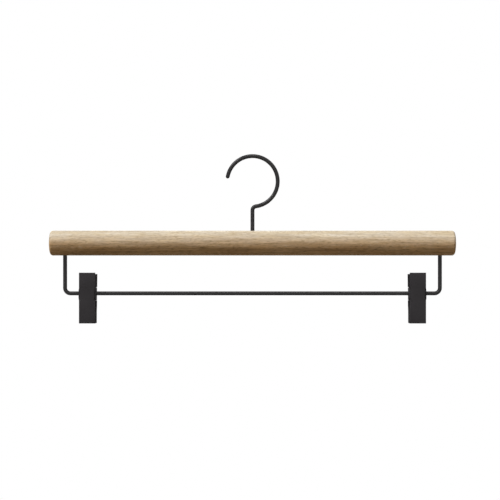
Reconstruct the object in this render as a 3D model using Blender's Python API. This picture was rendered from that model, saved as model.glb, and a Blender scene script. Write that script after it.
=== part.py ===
"""Clip hanger: a round wooden bar on a swivelling wire hook, with a wire trouser bar under it that
carries two sprung clips of sheet metal.

Frame: +Z up, +X along the wooden bar, -Y towards the viewer. The origin is the inside top of the hook,
the point that rests on a rail.
"""
import math

import bmesh
import bpy
from mathutils import Vector

MM = 0.001

# Clearances between pieces
SEAT_GAP = 0.3 * MM
RUNNING_GAP = 0.3 * MM
EAR_HOLE_GAP = 0.35 * MM

# Hook, bent from round wire
HOOK_WIRE_RADIUS = 2.0 * MM
HOOK_INNER_RADIUS = 23.4 * MM
HOOK_TIP_ANGLE = math.radians(169.0)
HOOK_NECK_RADIUS = 4.0 * MM
HOOK_CENTRE_TO_BAR = 62.2 * MM
HOOK_END_CHAMFER = 0.4 * MM

# Washer and nut that hold the hook, in a recess of the wooden bar that a wooden plug closes from below
WASHER_RADIUS = 4.5 * MM
WASHER_THICKNESS = 0.8 * MM
NUT_WIDTH = 7.0 * MM
NUT_HEIGHT = 3.2 * MM
NUT_CHAMFER = 0.4 * MM
SHANK_PAST_NUT = 0.6 * MM
SHANK_TO_PLUG = 0.8 * MM
PLUG_THICKNESS = 3.6 * MM
RECESS_ROOM = 0.5 * MM

# Wooden bar, turned
BAR_LENGTH = 409.0 * MM
BAR_RADIUS = 12.5 * MM
BAR_CROWN_RADIUS = 54.0 * MM
BAR_EDGE_RADIUS = 3.0 * MM

# Trouser bar, a U of round wire
TROUSER_WIRE_RADIUS = 2.0 * MM
TROUSER_BAR_DROP = 50.6 * MM
TROUSER_END_INSET = 15.8 * MM
TROUSER_BEND_RADIUS = 5.5 * MM
TROUSER_SEAT_DEPTH = 10.0 * MM

# Clips: where they hang, and the sheet they are stamped from
CLIP_FROM_UPRIGHT = 22.8 * MM
SHEET_THICKNESS = 0.8 * MM
FOLD_RADIUS = 1.0 * MM
RELIEF_GAP = 0.4 * MM
FRONT_JAW_WIDTH = 16.3 * MM
REAR_JAW_WIDTH = 17.4 * MM
FRONT_LEVER_RISE = 20.9 * MM
REAR_LEVER_RISE = 19.2 * MM
REAR_LEVER_LEAN = 2.15 * MM
JAW_DROP = 30.1 * MM
JAW_TIP_DEPTH = 10.0 * MM
LIP_LENGTH = 2.6 * MM
CRANK_START_DROP = 12.5 * MM
CRANK_END_DROP = 17.5 * MM
CRANK_START_LEAN = 0.9 * MM
CRANK_END_LEAN = 0.4 * MM
CRANK_RADIUS = 3.0 * MM
FRONT_EAR_MARGIN = 2.45 * MM
REAR_EAR_MARGIN = 3.15 * MM
FRONT_EAR_RIM = 1.45 * MM
EAR_ROOT = 0.3 * MM
EAR_DROP = 0.7 * MM
EAR_SQUARENESS = 4.0

# Pivot sleeve and torsion spring
SLEEVE_WALL = 0.5 * MM
SPRING_WIRE_RADIUS = 0.55 * MM
SPRING_PITCH = 1.7 * MM
SPRING_TURNS = 5
SPRING_LEG_RISE = 14.0 * MM
SPRING_FOOT_RADIUS = 1.0 * MM
SPRING_ROOM_FRONT = 1.0 * MM
SPRING_ROOM_REAR = 2.3 * MM

# Rubber pads
PAD_WIDTH = 15.0 * MM
PAD_HEIGHT = 10.4 * MM
PAD_RIBS = 5
PAD_RIB_DEPTH = 0.6 * MM
RIB_FOOT_SHARE = 0.8
RIB_CREST_SHARE = 0.3

# Fineness of round forms
WIRE_SIDES = 16
TURNED_SIDES = 48
SMALL_SIDES = 32
SPRING_POINTS_PER_TURN = 10
ARC_STEP = math.radians(6.0)
TIP_TURNS = [math.radians(degrees) for degrees in (0.0, 25.0, 50.0, 70.0)]
BEND_STEPS = 8
FOLD_STEPS = 4
FOOT_STEPS = 2
CROWN_STEPS = 3
EDGE_STEPS = 6
EAR_ROWS = 12

# Places worked out from the sizes above, relative to the origin
HOOK_RADIUS = HOOK_INNER_RADIUS + HOOK_WIRE_RADIUS
HOOK_CENTRE_Z = -HOOK_INNER_RADIUS
BAR_Z = HOOK_CENTRE_Z - HOOK_CENTRE_TO_BAR
BAR_UNDERSIDE_Z = BAR_Z - BAR_RADIUS
PLUG_TOP_Z = BAR_UNDERSIDE_Z + PLUG_THICKNESS
SHANK_END_Z = PLUG_TOP_Z + SHANK_TO_PLUG
NUT_TOP_Z = SHANK_END_Z + SHANK_PAST_NUT + NUT_HEIGHT
WASHER_TOP_Z = NUT_TOP_Z + SEAT_GAP + WASHER_THICKNESS
RECESS_FLOOR_Z = WASHER_TOP_Z + SEAT_GAP
NUT_CORNER_RADIUS = NUT_WIDTH / 2 / math.cos(math.pi / 6)
RECESS_RADIUS = max(WASHER_RADIUS, NUT_CORNER_RADIUS) + RECESS_ROOM
SHANK_HOLE_RADIUS = HOOK_WIRE_RADIUS + RUNNING_GAP
TROUSER_Z = BAR_Z - TROUSER_BAR_DROP
TROUSER_UPRIGHT_X = BAR_LENGTH / 2 - TROUSER_END_INSET
CLIP_X = TROUSER_UPRIGHT_X - CLIP_FROM_UPRIGHT

# Places within a clip, relative to its pivot on the wire
SLEEVE_INNER_RADIUS = TROUSER_WIRE_RADIUS + RUNNING_GAP
SLEEVE_RADIUS = SLEEVE_INNER_RADIUS + SLEEVE_WALL
SLEEVE_LENGTH = REAR_JAW_WIDTH + 2 * SEAT_GAP
EAR_HOLE_RADIUS = SLEEVE_RADIUS + EAR_HOLE_GAP
SPRING_RADIUS = SLEEVE_RADIUS + RUNNING_GAP + SPRING_WIRE_RADIUS
SPRING_OUTER_RADIUS = SPRING_RADIUS + SPRING_WIRE_RADIUS
FRONT_FACE_Y = -(SPRING_OUTER_RADIUS + SPRING_ROOM_FRONT + SHEET_THICKNESS)
REAR_FACE_Y = SPRING_OUTER_RADIUS + SPRING_ROOM_REAR + SHEET_THICKNESS
REAR_TIP_Y = FRONT_FACE_Y + JAW_TIP_DEPTH
REAR_EAR_OUTER = REAR_JAW_WIDTH / 2
FRONT_EAR_OUTER = REAR_EAR_OUTER - SHEET_THICKNESS - RUNNING_GAP
GRIP_Y = (FRONT_FACE_Y + REAR_TIP_Y) / 2


def clear_scene():
    """Removes whatever the scene holds."""
    for obj in list(bpy.data.objects):
        bpy.data.objects.remove(obj, do_unlink=True)


def make_material(name, colour, roughness, metallic):
    """A plain Principled material."""
    material = bpy.data.materials.new(name)
    material.use_nodes = True
    shader = material.node_tree.nodes["Principled BSDF"]
    shader.inputs["Base Color"].default_value = (*colour, 1.0)
    shader.inputs["Roughness"].default_value = roughness
    shader.inputs["Metallic"].default_value = metallic
    return material


def add_mesh_object(name, mesh, place, material):
    """Turns a bmesh into a named object with smooth round faces."""
    data = bpy.data.meshes.new(name)
    mesh.to_mesh(data)
    mesh.free()
    data.shade_smooth()
    data.set_sharp_from_angle(angle=math.radians(30.0))
    data.materials.append(material)
    obj = bpy.data.objects.new(name, data)
    obj.location = place
    bpy.context.collection.objects.link(obj)
    return obj


def hide_cutter(cutter):
    """Marks an object as a guide for Boolean cuts."""
    cutter.hide_render = True
    cutter.display_type = "WIRE"
    return cutter


def cut(obj, cutter):
    """Cuts a hidden solid out of an object."""
    combine(obj, cutter, "DIFFERENCE")


def combine(obj, guide, operation):
    """Combines an object with a hidden solid by a Boolean operation."""
    modifier = obj.modifiers.new("with_" + guide.name, "BOOLEAN")
    modifier.operation = operation
    modifier.solver = "EXACT"
    modifier.object = guide


def arc(centre, radius, start, end, steps):
    """Points (across, up) on an arc about centre, both ends included."""
    points = []
    for step in range(steps + 1):
        angle = start + (end - start) * step / steps
        points.append((centre[0] + radius * math.cos(angle), centre[1] + radius * math.sin(angle)))
    return points


def rounded_path(corners, radii, steps):
    """A line through corners in a plane, with each inner corner rounded by its radius."""
    path = [Vector(corners[0])]
    for before, corner, after, radius in zip(corners, corners[1:], corners[2:], radii):
        corner = Vector(corner)
        back = (Vector(before) - corner).normalized()
        onward = (Vector(after) - corner).normalized()
        half_turn = (math.pi - back.angle(onward)) / 2
        centre = corner + (back + onward).normalized() * radius / math.cos(half_turn)
        start = corner + back * radius * math.tan(half_turn) - centre
        end = corner + onward * radius * math.tan(half_turn) - centre
        for step in range(steps + 1):
            share = step / steps
            weight_start = math.sin((1 - share) * 2 * half_turn)
            weight_end = math.sin(share * 2 * half_turn)
            path.append(centre + (start * weight_start + end * weight_end) / math.sin(2 * half_turn))
    path.append(Vector(corners[-1]))
    return path


def swept_wire(name, stations, place, material):
    """A round bar in the XZ plane through stations (x, z, radius). A radius of 0 closes an end in a point."""
    mesh = bmesh.new()
    centres = [Vector((x, 0.0, z)) for x, z, _ in stations]
    side = Vector((0.0, 1.0, 0.0))
    rings = []
    for index, centre in enumerate(centres):
        radius = stations[index][2]
        ahead = centres[min(index + 1, len(centres) - 1)]
        behind = centres[max(index - 1, 0)]
        normal = (ahead - behind).normalized().cross(side)
        if radius == 0.0:
            rings.append([mesh.verts.new(centre)])
            continue
        ring = []
        for number in range(WIRE_SIDES):
            angle = 2 * math.pi * number / WIRE_SIDES
            ring.append(mesh.verts.new(centre + radius * (math.cos(angle) * side + math.sin(angle) * normal)))
        rings.append(ring)
    join_rings(mesh, rings, False)
    return add_mesh_object(name, mesh, place, material)


def turned(name, profile, axis, sides, closed, place, material):
    """A solid of revolution. The profile's points are (along the axis, radius). A closed one makes a ring."""
    mesh = bmesh.new()
    along = Vector((1.0, 0.0, 0.0)) if axis == "X" else Vector((0.0, 0.0, 1.0))
    first = Vector((0.0, 1.0, 0.0))
    second = along.cross(first)
    rings = []
    for distance, radius in profile:
        if radius == 0.0:
            rings.append([mesh.verts.new(along * distance)])
            continue
        ring = []
        for number in range(sides):
            angle = 2 * math.pi * number / sides
            outward = math.cos(angle) * first + math.sin(angle) * second
            ring.append(mesh.verts.new(along * distance + radius * outward))
        rings.append(ring)
    join_rings(mesh, rings, closed)
    return add_mesh_object(name, mesh, place, material)


def join_rings(mesh, rings, closed):
    """Skins neighbouring rings of points, closes open ends with a face, and turns all faces outwards."""
    pairs = list(zip(rings, rings[1:]))
    if closed:
        pairs.append((rings[-1], rings[0]))
    for one, other in pairs:
        count = max(len(one), len(other))
        for number in range(count):
            after = (number + 1) % count
            corners = []
            for ring, index in ((one, number), (one, after), (other, after), (other, number)):
                vertex = ring[index % len(ring)]
                if vertex not in corners:
                    corners.append(vertex)
            mesh.faces.new(corners)
    if not closed:
        for ring in (rings[0], rings[-1]):
            if len(ring) > 1:
                mesh.faces.new(ring)
    bmesh.ops.recalc_face_normals(mesh, faces=mesh.faces)


def extruded_outline(name, outline, width, place, material):
    """A prism along X from an outline of (y, z) points."""
    mesh = bmesh.new()
    ends = []
    for x in (-width / 2, width / 2):
        ends.append([mesh.verts.new((x, y, z)) for y, z in outline])
    join_rings(mesh, ends, False)
    return add_mesh_object(name, mesh, place, material)


def build_hook(material):
    """Open circle, reverse bend and straight shank, in one piece of wire with a rounded tip."""
    neck_x = HOOK_NECK_RADIUS
    neck_reach = HOOK_RADIUS + HOOK_NECK_RADIUS
    neck_drop = math.sqrt(neck_reach**2 - neck_x**2)
    join_angle = -math.acos(neck_x / neck_reach)
    centre = (0.0, HOOK_CENTRE_Z)
    stations = []
    for turn in TIP_TURNS:
        ahead = HOOK_WIRE_RADIUS * math.cos(turn)
        angle = HOOK_TIP_ANGLE + ahead / HOOK_RADIUS
        point = arc(centre, HOOK_RADIUS, angle, angle, 1)[0]
        stations.append((*point, HOOK_WIRE_RADIUS * math.sin(turn)))
    steps = round((HOOK_TIP_ANGLE - join_angle) / ARC_STEP)
    for point in arc(centre, HOOK_RADIUS, HOOK_TIP_ANGLE, join_angle, steps):
        stations.append((*point, HOOK_WIRE_RADIUS))
    neck_centre = (neck_x, HOOK_CENTRE_Z - neck_drop)
    neck = arc(neck_centre, HOOK_NECK_RADIUS, join_angle + math.pi, math.pi, BEND_STEPS)
    for point in neck[1:]:
        stations.append((*point, HOOK_WIRE_RADIUS))
    stations.append((0.0, SHANK_END_Z + HOOK_END_CHAMFER, HOOK_WIRE_RADIUS))
    stations.append((0.0, SHANK_END_Z, HOOK_WIRE_RADIUS - HOOK_END_CHAMFER))
    return swept_wire("hook", stations, (0.0, 0.0, 0.0), material)


def build_hook_fasteners(material):
    """Washer and nut on the shank, in the wooden bar's recess."""
    washer_profile = [
        (0.0, SHANK_HOLE_RADIUS),
        (0.0, WASHER_RADIUS),
        (WASHER_THICKNESS, WASHER_RADIUS),
        (WASHER_THICKNESS, SHANK_HOLE_RADIUS),
    ]
    washer_place = (0.0, 0.0, WASHER_TOP_Z - WASHER_THICKNESS)
    turned("hook_washer", washer_profile, "Z", SMALL_SIDES, True, washer_place, material)

    nut_place = (0.0, 0.0, NUT_TOP_Z - NUT_HEIGHT)
    hexagon = [(0.0, 0.0), (0.0, NUT_CORNER_RADIUS), (NUT_HEIGHT, NUT_CORNER_RADIUS), (NUT_HEIGHT, 0.0)]
    nut = turned("hook_nut", hexagon, "Z", 6, False, nut_place, material)
    chamfer = nut.modifiers.new("chamfer", "BEVEL")
    chamfer.width = NUT_CHAMFER
    chamfer.segments = 1
    chamfer.limit_method = "ANGLE"
    chamfer.angle_limit = math.radians(75.0)
    bore_profile = [
        (-NUT_HEIGHT, 0.0),
        (-NUT_HEIGHT, SHANK_HOLE_RADIUS),
        (2 * NUT_HEIGHT, SHANK_HOLE_RADIUS),
        (2 * NUT_HEIGHT, 0.0),
    ]
    bore = turned("nut_bore_cutter", bore_profile, "Z", SMALL_SIDES, False, nut_place, material)
    cut(nut, hide_cutter(bore))


def build_wood_bar(material):
    """Turned bar with crowned ends, bored for the hook and for the ends of the trouser bar."""
    half = BAR_LENGTH / 2
    edge_centre = half - BAR_CROWN_RADIUS
    edge_centre += math.sqrt((BAR_CROWN_RADIUS - BAR_EDGE_RADIUS) ** 2 - (BAR_RADIUS - BAR_EDGE_RADIUS) ** 2)
    crown_angle = math.asin((BAR_RADIUS - BAR_EDGE_RADIUS) / (BAR_CROWN_RADIUS - BAR_EDGE_RADIUS))
    crown = arc((half - BAR_CROWN_RADIUS, 0.0), BAR_CROWN_RADIUS, 0.0, crown_angle, CROWN_STEPS)
    edge_place = (edge_centre, BAR_RADIUS - BAR_EDGE_RADIUS)
    edge = arc(edge_place, BAR_EDGE_RADIUS, crown_angle, math.pi / 2, EDGE_STEPS)
    right_end = [(half, 0.0)] + crown[1:] + edge[1:]
    left_end = [(-along, radius) for along, radius in reversed(right_end)]
    place = (0.0, 0.0, BAR_Z)
    bar = turned("wood_bar", right_end + left_end, "X", TURNED_SIDES, False, place, material)

    recess_floor = RECESS_FLOOR_Z - BAR_Z
    bore_profile = [
        (2 * BAR_RADIUS, 0.0),
        (2 * BAR_RADIUS, SHANK_HOLE_RADIUS),
        (recess_floor, SHANK_HOLE_RADIUS),
        (recess_floor, RECESS_RADIUS),
        (-2 * BAR_RADIUS, RECESS_RADIUS),
        (-2 * BAR_RADIUS, 0.0),
    ]
    bore = turned("hook_bore_cutter", bore_profile, "Z", SMALL_SIDES, False, place, material)
    cut(bar, hide_cutter(bore))

    seat_radius = TROUSER_WIRE_RADIUS + SEAT_GAP
    seat_floor = -BAR_RADIUS + TROUSER_SEAT_DEPTH
    seat_profile = [
        (seat_floor, 0.0),
        (seat_floor, seat_radius),
        (-2 * BAR_RADIUS, seat_radius),
        (-2 * BAR_RADIUS, 0.0),
    ]
    for side, sign in (("left", -1), ("right", 1)):
        seat_place = (sign * TROUSER_UPRIGHT_X, 0.0, BAR_Z)
        seat = turned(side + "_seat_cutter", seat_profile, "Z", SMALL_SIDES, False, seat_place, material)
        cut(bar, hide_cutter(seat))


def build_bar_plug(material):
    """Wooden plug that closes the recess, with its underside rounded like the bar."""
    plug_radius = RECESS_RADIUS - SEAT_GAP
    top = PLUG_TOP_Z - BAR_Z
    profile = [(top, 0.0), (top, plug_radius), (-2 * BAR_RADIUS, plug_radius), (-2 * BAR_RADIUS, 0.0)]
    place = (0.0, 0.0, BAR_Z)
    plug = turned("bar_plug", profile, "Z", SMALL_SIDES, False, place, material)
    reach = 2 * RECESS_RADIUS
    rod_profile = [(-reach, 0.0), (-reach, BAR_RADIUS), (reach, BAR_RADIUS), (reach, 0.0)]
    rod = turned("plug_shaper", rod_profile, "X", TURNED_SIDES, False, place, material)
    combine(plug, hide_cutter(rod), "INTERSECT")


def build_trouser_bar(material):
    """Wire bent to a wide U, its ends standing in the wooden bar's blind holes."""
    x = TROUSER_UPRIGHT_X
    top = BAR_UNDERSIDE_Z + TROUSER_SEAT_DEPTH - SEAT_GAP
    corners = [(-x, top), (-x, TROUSER_Z), (x, TROUSER_Z), (x, top)]
    path = rounded_path(corners, [TROUSER_BEND_RADIUS] * 2, BEND_STEPS)
    stations = [(*point, TROUSER_WIRE_RADIUS) for point in path]
    return swept_wire("trouser_bar", stations, (0.0, 0.0, 0.0), material)


def profile_y(profile, z):
    """The profile's y at a height, where the profile falls steadily."""
    for upper, lower in zip(profile, profile[1:]):
        if upper[1] >= z >= lower[1] and upper[1] > lower[1]:
            share = (upper[1] - z) / (upper[1] - lower[1])
            return upper[0] + (lower[0] - upper[0]) * share
    return profile[0][0]


def folded_jaw(name, profile, inward, plate_width, ear_outer, ear_half_height, ear_reach, pivot, material):
    """Sheet-metal jaw: a plate along profile, with an ear folded inward from each side at the pivot.

    The skin is the outer face of the sheet, and Solidify gives it its thickness on the inner side.
    """
    fold = ear_outer - FOLD_RADIUS
    upper_relief = ear_half_height + RELIEF_GAP - EAR_DROP
    lower_relief = -ear_half_height - RELIEF_GAP - EAR_DROP
    rows = [(y, z, None) for y, z in profile if z > upper_relief]
    rows.append((profile_y(profile, upper_relief), upper_relief, None))
    for number in range(EAR_ROWS + 1):
        height = math.cos(math.pi * number / EAR_ROWS)
        z = ear_half_height * height - EAR_DROP
        rows.append((profile_y(profile, z), z, height))
    rows.append((profile_y(profile, lower_relief), lower_relief, None))
    rows += [(y, z, None) for y, z in profile if z < lower_relief]

    mesh = bmesh.new()
    lines = []
    root_depth = inward * profile_y(profile, 0.0) + FOLD_RADIUS + EAR_ROOT
    for y, z, height in rows:
        if height is None:
            side = [(plate_width / 2, y)]
        else:
            side = []
            for step in range(1, FOLD_STEPS + 1):
                turn = math.pi / 2 * step / FOLD_STEPS
                depth = FOLD_RADIUS * (1 - math.cos(turn))
                side.append((fold + FOLD_RADIUS * math.sin(turn), y + inward * depth))
            share = max(0.0, 1 - abs(height) ** EAR_SQUARENESS) ** (1 / EAR_SQUARENESS)
            length = FOLD_RADIUS + EAR_ROOT + (ear_reach - root_depth) * share
            side.append((ear_outer, y + inward * length))
        across = [(-x, depth) for x, depth in reversed(side)] + [(-fold, y), (fold, y)] + side
        lines.append(([mesh.verts.new((x, depth, z)) for x, depth in across], height is not None))
    for (upper, upper_ear), (lower, lower_ear) in zip(lines, lines[1:]):
        if upper_ear == lower_ear:
            columns = range(len(upper) - 1)
            shift = 0
        else:
            columns = [len(upper) // 2 - 1]
            shift = len(lower) // 2 - len(upper) // 2
        for column in columns:
            corners = [upper[column], lower[column + shift], lower[column + shift + 1], upper[column + 1]]
            if inward < 0:
                corners.reverse()
            mesh.faces.new(corners)
    jaw = add_mesh_object(name, mesh, pivot, material)
    sheet = jaw.modifiers.new("sheet", "SOLIDIFY")
    sheet.thickness = SHEET_THICKNESS
    sheet.offset = -1.0
    sheet.use_even_offset = True
    return jaw


def front_profile():
    """Outer face of the front jaw, (y, z) from the lever's top to the end of the lip."""
    corners = [
        (FRONT_FACE_Y, FRONT_LEVER_RISE),
        (FRONT_FACE_Y, -JAW_DROP),
        (FRONT_FACE_Y + LIP_LENGTH, -JAW_DROP),
    ]
    return rounded_path(corners, [FOLD_RADIUS], FOLD_STEPS)


def rear_profile():
    """Outer face of the rear jaw: it leans back at the lever and is cranked forward above the tip."""
    corners = [
        (REAR_FACE_Y + REAR_LEVER_LEAN, REAR_LEVER_RISE),
        (REAR_FACE_Y, 0.0),
        (REAR_FACE_Y - CRANK_START_LEAN, -CRANK_START_DROP),
        (REAR_TIP_Y + CRANK_END_LEAN, -CRANK_END_DROP),
        (REAR_TIP_Y, -JAW_DROP),
        (REAR_TIP_Y - LIP_LENGTH, -JAW_DROP),
    ]
    radii = [CRANK_RADIUS, CRANK_RADIUS, CRANK_RADIUS, FOLD_RADIUS]
    return rounded_path(corners, radii, FOLD_STEPS)


def pad_outline(back, facing):
    """Outline of a pad: a back that follows the jaw's inner face, and a ribbed face at the grip plane."""
    bottom = -JAW_DROP + SHEET_THICKNESS + SEAT_GAP
    crest = GRIP_Y - facing * SEAT_GAP / 2
    groove = crest - facing * PAD_RIB_DEPTH
    pitch = PAD_HEIGHT / PAD_RIBS
    outline = [(back(bottom), bottom)]
    for number in range(PAD_RIBS):
        middle = bottom + (number + 0.5) * pitch
        foot = RIB_FOOT_SHARE * pitch / 2
        crown = RIB_CREST_SHARE * pitch / 2
        outline += [(groove, middle - foot), (crest, middle - crown)]
        outline += [(crest, middle + crown), (groove, middle + foot)]
    outline[1] = (groove, bottom)
    outline[-1] = (groove, bottom + PAD_HEIGHT)
    outline.append((back(bottom + PAD_HEIGHT), bottom + PAD_HEIGHT))
    return outline


def spring_points():
    """Centreline of the torsion spring: foot, front leg, coil, rear leg, foot."""
    rear_lean = math.atan2(REAR_LEVER_LEAN, REAR_LEVER_RISE)
    start = math.pi
    end = 2 * math.pi * (SPRING_TURNS + 1) - rear_lean
    turns = (end - start) / (2 * math.pi)
    half_width = turns * SPRING_PITCH / 2
    steps = round(turns * SPRING_POINTS_PER_TURN)
    coil = []
    for step in range(steps + 1):
        share = step / steps
        angle = start + (end - start) * share
        across = half_width * (2 * share - 1)
        coil.append(Vector((across, SPRING_RADIUS * math.cos(angle), SPRING_RADIUS * math.sin(angle))))

    front_foot_y = FRONT_FACE_Y + SHEET_THICKNESS + SEAT_GAP
    front_leg = rounded_path(
        [(front_foot_y, SPRING_LEG_RISE), (coil[0].y, SPRING_LEG_RISE), (coil[0].y, coil[0].z)],
        [SPRING_FOOT_RADIUS],
        FOOT_STEPS,
    )
    rear_top_y = coil[-1].y + (SPRING_LEG_RISE - coil[-1].z) * math.tan(rear_lean)
    rear_inner_y = profile_y(rear_profile(), SPRING_LEG_RISE) - SHEET_THICKNESS / math.cos(rear_lean)
    rear_leg = rounded_path(
        [(coil[-1].y, coil[-1].z), (rear_top_y, SPRING_LEG_RISE), (rear_inner_y - SEAT_GAP, SPRING_LEG_RISE)],
        [SPRING_FOOT_RADIUS],
        FOOT_STEPS,
    )
    points = [Vector((coil[0].x, y, z)) for y, z in front_leg[:-1]]
    points += coil
    points += [Vector((coil[-1].x, y, z)) for y, z in rear_leg[1:]]
    return points


def least_gap(points, wire_radius):
    """The smallest free space between parts of a wire that are more than three diameters apart along it."""
    travelled = [0.0]
    for one, other in zip(points, points[1:]):
        travelled.append(travelled[-1] + (other - one).length)
    smallest = math.inf
    for index, point in enumerate(points):
        for other in range(index + 1, len(points)):
            if travelled[other] - travelled[index] > 6 * wire_radius:
                smallest = min(smallest, (points[other] - point).length - 2 * wire_radius)
    return smallest


def build_spring(name, pivot, material):
    """Torsion spring as one tube along its centreline."""
    points = spring_points()
    curve = bpy.data.curves.new(name, "CURVE")
    curve.dimensions = "3D"
    spline = curve.splines.new("POLY")
    spline.points.add(len(points) - 1)
    for target, point in zip(spline.points, points):
        target.co = (*point, 1.0)
    curve.bevel_depth = SPRING_WIRE_RADIUS
    curve.bevel_resolution = 1
    curve.use_fill_caps = True
    curve.materials.append(material)
    spring = bpy.data.objects.new(name, curve)
    spring.location = pivot
    bpy.context.collection.objects.link(spring)
    print(name, "least gap to itself in mm:", round(least_gap(points, SPRING_WIRE_RADIUS) / MM, 3))
    return spring


def build_clip(side, x, steel, spring_steel, rubber):
    """One clip on the wire: sleeve, spring, two jaws and their pads, all placed from the pivot."""
    pivot = (x, 0.0, TROUSER_Z)
    half = SLEEVE_LENGTH / 2
    sleeve_profile = [
        (-half, SLEEVE_INNER_RADIUS),
        (-half, SLEEVE_RADIUS),
        (half, SLEEVE_RADIUS),
        (half, SLEEVE_INNER_RADIUS),
    ]
    turned(side + "_pivot_sleeve", sleeve_profile, "X", SMALL_SIDES, True, pivot, steel)
    build_spring(side + "_spring", pivot, spring_steel)

    front_reach = EAR_HOLE_RADIUS + FRONT_EAR_RIM
    rear_reach = -FRONT_FACE_Y - SHEET_THICKNESS - RUNNING_GAP
    front = folded_jaw(
        side + "_front_jaw", front_profile(), 1, FRONT_JAW_WIDTH, FRONT_EAR_OUTER,
        EAR_HOLE_RADIUS + FRONT_EAR_MARGIN, front_reach, pivot, steel,
    )
    rear = folded_jaw(
        side + "_rear_jaw", rear_profile(), -1, REAR_JAW_WIDTH, REAR_EAR_OUTER,
        EAR_HOLE_RADIUS + REAR_EAR_MARGIN, rear_reach, pivot, steel,
    )
    reach = REAR_JAW_WIDTH
    hole_profile = [(-reach, 0.0), (-reach, EAR_HOLE_RADIUS), (reach, EAR_HOLE_RADIUS), (reach, 0.0)]
    hole = turned(side + "_ear_hole_cutter", hole_profile, "X", SMALL_SIDES, False, pivot, steel)
    hide_cutter(hole)
    cut(front, hole)
    cut(rear, hole)

    depth = SHEET_THICKNESS + SEAT_GAP
    front_outline = pad_outline(lambda z: FRONT_FACE_Y + depth, 1)
    extruded_outline(side + "_front_pad", front_outline, PAD_WIDTH, pivot, rubber)
    rear_outline = pad_outline(lambda z: profile_y(rear_profile(), z) - depth, -1)
    extruded_outline(side + "_rear_pad", rear_outline, PAD_WIDTH, pivot, rubber)


def build_hanger():
    """The whole hanger."""
    clear_scene()
    painted = make_material("black_painted_steel", (0.03, 0.028, 0.029), 0.5, 0.3)
    spring_steel = make_material("spring_steel", (0.35, 0.35, 0.36), 0.35, 1.0)
    zinc = make_material("zinc_plated_steel", (0.55, 0.55, 0.56), 0.4, 1.0)
    oak = make_material("oak", (0.56, 0.42, 0.27), 0.55, 0.0)
    rubber = make_material("black_rubber", (0.02, 0.02, 0.02), 0.8, 0.0)
    build_hook(painted)
    build_hook_fasteners(zinc)
    build_wood_bar(oak)
    build_bar_plug(oak)
    build_trouser_bar(painted)
    for side, sign in (("left", -1), ("right", 1)):
        build_clip(side, sign * CLIP_X, painted, spring_steel, rubber)


build_hanger()
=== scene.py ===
"""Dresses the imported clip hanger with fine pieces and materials, and sets its light and camera."""

import math

import bmesh
import bpy
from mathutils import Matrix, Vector


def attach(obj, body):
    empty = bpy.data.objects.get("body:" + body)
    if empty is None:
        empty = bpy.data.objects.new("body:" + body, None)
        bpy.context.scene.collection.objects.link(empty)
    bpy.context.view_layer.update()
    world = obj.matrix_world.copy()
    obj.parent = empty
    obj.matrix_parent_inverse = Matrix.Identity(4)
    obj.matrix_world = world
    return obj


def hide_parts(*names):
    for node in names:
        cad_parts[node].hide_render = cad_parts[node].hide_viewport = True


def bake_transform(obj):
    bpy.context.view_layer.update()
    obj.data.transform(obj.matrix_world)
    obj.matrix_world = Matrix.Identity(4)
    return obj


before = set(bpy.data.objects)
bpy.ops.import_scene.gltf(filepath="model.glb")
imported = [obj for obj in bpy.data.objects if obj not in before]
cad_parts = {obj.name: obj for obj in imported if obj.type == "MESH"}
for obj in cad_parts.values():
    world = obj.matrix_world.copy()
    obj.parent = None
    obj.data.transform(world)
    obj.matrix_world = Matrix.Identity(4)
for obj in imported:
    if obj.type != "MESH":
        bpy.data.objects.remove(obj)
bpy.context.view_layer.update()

MM = 0.001

# Gaps between pieces
SEAT_GAP = 0.3 * MM
RUNNING_GAP = 0.3 * MM
EAR_HOLE_GAP = 0.35 * MM
FASTENER_GAP = 0.15 * MM
WOOD_SEAM = 0.06 * MM

# Hook
HOOK_WIRE_RADIUS = 2.0 * MM
HOOK_INNER_RADIUS = 23.4 * MM
HOOK_TIP_ANGLE = math.radians(169.0)
HOOK_NECK_RADIUS = 4.0 * MM
HOOK_CENTRE_TO_BAR = 62.2 * MM
HOOK_END_CHAMFER = 0.4 * MM
THREAD_PITCH = 0.7 * MM
THREAD_DEPTH = 0.36 * MM
THREAD_LENGTH = 9.0 * MM

# Fasteners in the wooden bar, and the plug that hides them
WASHER_RADIUS = 4.5 * MM
WASHER_THICKNESS = 0.8 * MM
NUT_WIDTH = 7.0 * MM
NUT_HEIGHT = 3.2 * MM
NUT_FACE_SHARE = 0.97
NUT_CONE_HEIGHT = 0.55 * MM
NUT_MOUTH = 0.3 * MM
SHANK_PAST_NUT = 0.6 * MM
SHANK_TO_PLUG = 0.8 * MM
PLUG_THICKNESS = 3.6 * MM
RECESS_RADIUS = 5.0 * MM
TURNED_EDGE = 0.12 * MM

# Wooden bar
BAR_LENGTH = 409.0 * MM
BAR_RADIUS = 12.5 * MM
BAR_CROWN_RADIUS = 54.0 * MM
BAR_EDGE_RADIUS = 3.0 * MM

# Trouser bar
TROUSER_WIRE_RADIUS = 2.0 * MM
TROUSER_BAR_DROP = 50.6 * MM
TROUSER_END_INSET = 15.8 * MM
TROUSER_BEND_RADIUS = 5.5 * MM
TROUSER_SEAT_DEPTH = 10.0 * MM

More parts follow.
